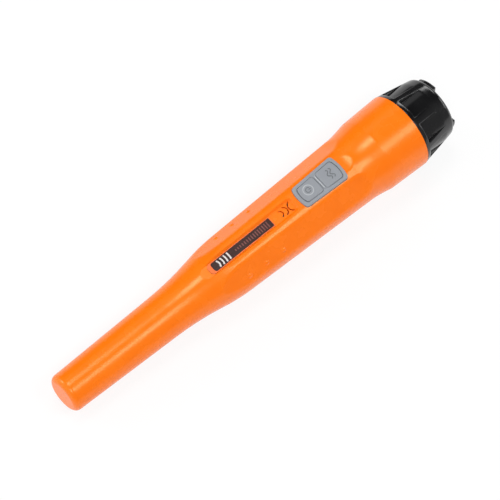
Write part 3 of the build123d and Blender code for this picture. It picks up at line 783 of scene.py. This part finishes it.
def make_coil(finishes):
    """The search coil's winding: a layer of fine wire that runs round in a helix."""
    start, end = coil_span
    inner, outer = coil_radii
    pitch = (end - start) / coil_turns

    def wire_shift(x, radius, turn):
        bare = radius < outer
        return 0.0, 0.0 if bare else coil_ripple * cos(2 * pi * (x - start) / pitch - turn)

    steps = coil_turn_steps * coil_turns
    stations = [start + (end - start) * i / steps for i in range(steps + 1)]
    profile = [(start, inner)] + [(x, outer) for x in stations] + [(end, inner)]
    turns, copper = even_turns(coil_sides), finishes["coil_copper"]
    coil = add_turned("coil_winding", profile, turns, wire_shift, copper, "housing", True)
    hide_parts("search_coil")


def dress_nodes(finishes):
    """Gives every node of the frame the finish of its slot."""
    for part in frame["record"]["subparts"]:
        materials = nodes[part["node"]].data.materials
        materials.clear()
        materials.append(finishes[part["material_slot"]])


# Studio


def add_area(name, toward, side, distance, size, power):
    """A soft box that faces the object's middle, with its long side turned a given way."""
    light = bpy.data.lights.new(name, "AREA")
    light.shape = "RECTANGLE"
    light.size, light.size_y = size
    light.energy = power
    lamp = bpy.data.objects.new(name, light)
    bpy.context.scene.collection.objects.link(lamp)
    back = heading(Vector(toward).normalized())
    length = heading(Vector(side))
    length = (length - back * length.dot(back)).normalized()
    turn = Matrix((length, back.cross(length), back)).transposed().to_4x4()
    lamp.matrix_world = Matrix.Translation(at(*camera_target) + back * distance) @ turn
    lamp.visible_camera = False


def seen_directly(tree_nodes, links):
    """One for rays from the camera and for mirrored or bent ones, else zero."""
    path = tree_nodes.new("ShaderNodeLightPath")
    first = tree_nodes.new("ShaderNodeMath")
    first.operation = "MAXIMUM"
    links.new(path.outputs["Is Camera Ray"], first.inputs[0])
    links.new(path.outputs["Is Glossy Ray"], first.inputs[1])
    both = tree_nodes.new("ShaderNodeMath")
    both.operation = "MAXIMUM"
    links.new(first.outputs[0], both.inputs[0])
    links.new(path.outputs["Is Transmission Ray"], both.inputs[1])
    return both.outputs[0]


def glow_towards(tree_nodes, links, pole, edge, strength):
    """A soft patch of light in the surround: full near its pole, and gone outside its edge.

    Two patches are added up, so each holds half of the dim light that is left.
    """
    coords = tree_nodes.new("ShaderNodeTexCoord")
    lean = tree_nodes.new("ShaderNodeVectorMath")
    lean.operation = "DOT_PRODUCT"
    lean.inputs[1].default_value = heading(pole.normalized())
    links.new(coords.outputs["Generated"], lean.inputs[0])
    fade = tree_nodes.new("ShaderNodeMapRange")
    fade.interpolation_type = "SMOOTHSTEP"
    fade.inputs["From Min"].default_value = edge[0]
    fade.inputs["From Max"].default_value = edge[1]
    fade.inputs["To Min"].default_value = surround_strength / 2
    fade.inputs["To Max"].default_value = strength
    links.new(lean.outputs["Value"], fade.inputs["Value"])
    return fade.outputs["Result"]


def make_world():
    """A studio surround: dim, with a broad bright side before the tip and a weaker one on the near side."""
    world = bpy.data.worlds.new("studio")
    bpy.context.scene.world = world
    world.use_nodes = True
    tree_nodes, links = world.node_tree.nodes, world.node_tree.links
    both = tree_nodes.new("ShaderNodeMath")
    both.operation = "ADD"
    links.new(glow_towards(tree_nodes, links, front_pole, front_edge, front_strength), both.inputs[0])
    links.new(glow_towards(tree_nodes, links, side_pole, side_edge, side_strength), both.inputs[1])
    surround = tree_nodes["Background"]
    surround.inputs["Color"].default_value = (1, 1, 1, 1)
    links.new(both.outputs[0], surround.inputs["Strength"])


def make_floor():
    """A pale floor that keeps a faint shadow."""
    mesh = bpy.data.meshes.new("floor")
    corners = [(floor_reach * x, floor_reach * y, 0) for x, y in ((-1, -1), (1, -1), (1, 1), (-1, 1))]
    mesh.from_pydata(corners, [], [(0, 1, 2, 3)])
    floor = bpy.data.objects.new("floor", mesh)
    bpy.context.scene.collection.objects.link(floor)
    material, tree_nodes, links, shader = new_material("floor_white")
    shader.inputs["Base Color"].default_value = floor_colour
    shader.inputs["Roughness"].default_value = floor_roughness
    shader.inputs["Specular IOR Level"].default_value = 0.0
    glow = tree_nodes.new("ShaderNodeEmission")
    glow.inputs["Strength"].default_value = 1.0
    share = tree_nodes.new("ShaderNodeMath")
    share.operation = "MULTIPLY"
    share.inputs[1].default_value = floor_glow
    links.new(seen_directly(tree_nodes, links), share.inputs[0])
    choose = tree_nodes.new("ShaderNodeMixShader")
    links.new(share.outputs[0], choose.inputs["Fac"])
    links.new(shader.outputs[0], choose.inputs[1])
    links.new(glow.outputs[0], choose.inputs[2])
    links.new(choose.outputs[0], tree_nodes["Material Output"].inputs["Surface"])
    mesh.materials.append(material)


def make_camera():
    """The photo's viewpoint."""
    data = bpy.data.cameras.new("camera")
    camera = bpy.data.objects.new("camera", data)
    bpy.context.scene.collection.objects.link(camera)
    bpy.context.scene.camera = camera
    back = heading(camera_toward)
    right = heading(camera_right - camera_toward * camera_right.dot(camera_toward)).normalized()
    up = back.cross(right)
    turn = Matrix((right, up, back)).transposed().to_4x4()
    camera.matrix_world = Matrix.Translation(at(*camera_target) + back * camera_distance) @ turn
    data.sensor_width = sensor_mm
    data.lens = camera_focal_px * sensor_mm / picture_px
    data.shift_x = -camera_shift_px[0] / picture_px
    data.shift_y = camera_shift_px[1] / picture_px
    data.clip_start = clip_start


def make_lights():
    """The soft boxes over the object, before it, behind it and beside it."""
    for name, lamp in lamps.items():
        add_area(name, *lamp)


def main():
    """Dresses the frame's nodes, and adds the fine pieces and the studio."""
    bpy.context.scene.view_settings.view_transform = "Standard"
    finishes = make_finishes()
    dress_nodes(finishes)
    make_threads(finishes)
    make_key_lips(finishes)
    make_power_sign(finishes)
    make_mode_sign(finishes)
    make_rib_highlight(finishes)
    make_label_print(finishes)
    make_cap(finishes)
    make_lugs(finishes)
    make_foam(finishes)
    make_coil(finishes)
    make_world()
    make_floor()
    make_camera()
    make_lights()


main()
